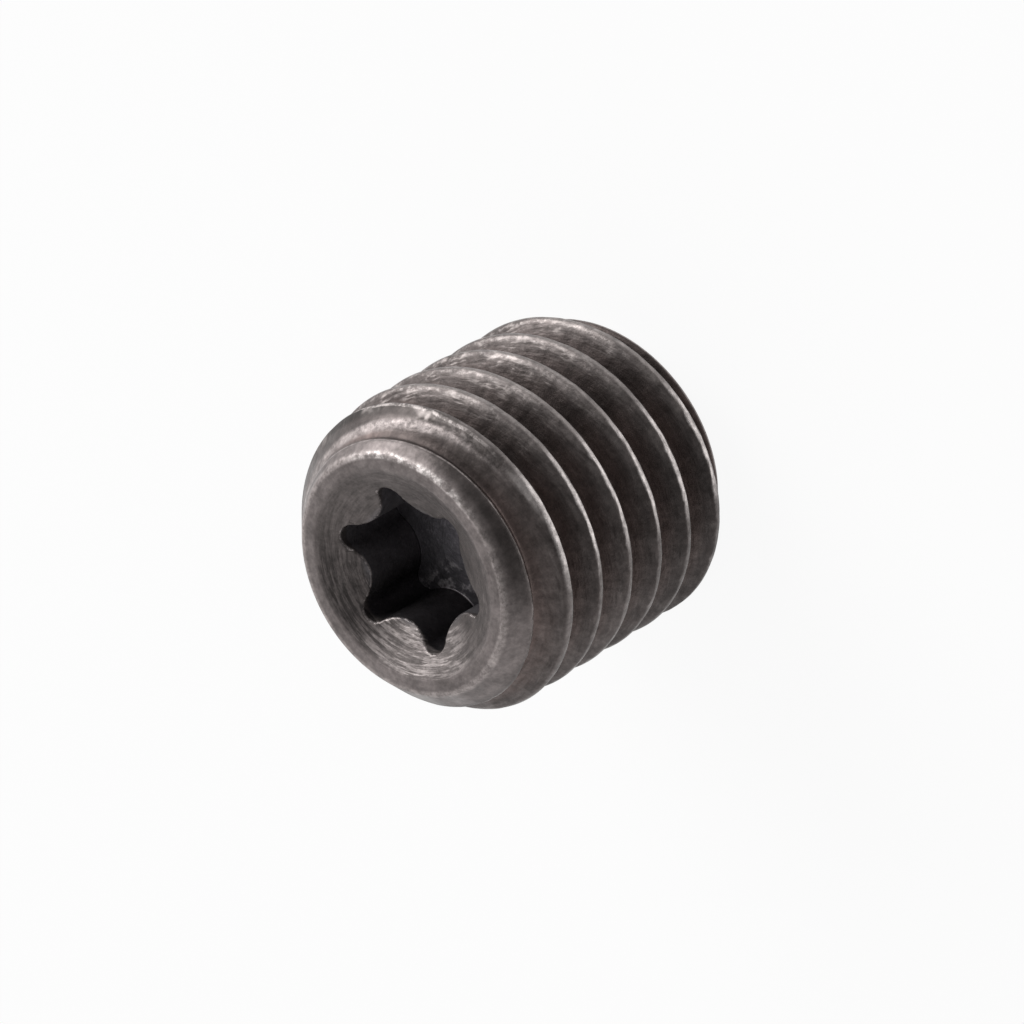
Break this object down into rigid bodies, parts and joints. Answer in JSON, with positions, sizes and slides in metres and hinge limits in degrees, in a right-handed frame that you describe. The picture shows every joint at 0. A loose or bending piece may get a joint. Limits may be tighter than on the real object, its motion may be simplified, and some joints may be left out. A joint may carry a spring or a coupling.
{
  "type": "bleed screw",
  "caption": "Headless bleed screw: a short fine-threaded steel plug with chamfered ends and a countersunk six-lobe socket, closing a bleed port",
  "frame": {"origin": "centre of the flat end, where the screw's axis meets it", "axes": "+Z along the screw's axis from the flat end to the socket; X and Y across it, with the thread groove crossing azimuth 0 at every whole pitch above the flat end"},
  "size_m": [0.0064, 0.0064, 0.0063],
  "materials": {
    "black_oxide_steel": "thin black oxide on turned and rolled steel, worn to grey along the crests and edges"
  },
  "bodies": {
    "root": {"bleed_screw": "black_oxide_steel"}
  },
  "joints": []
}
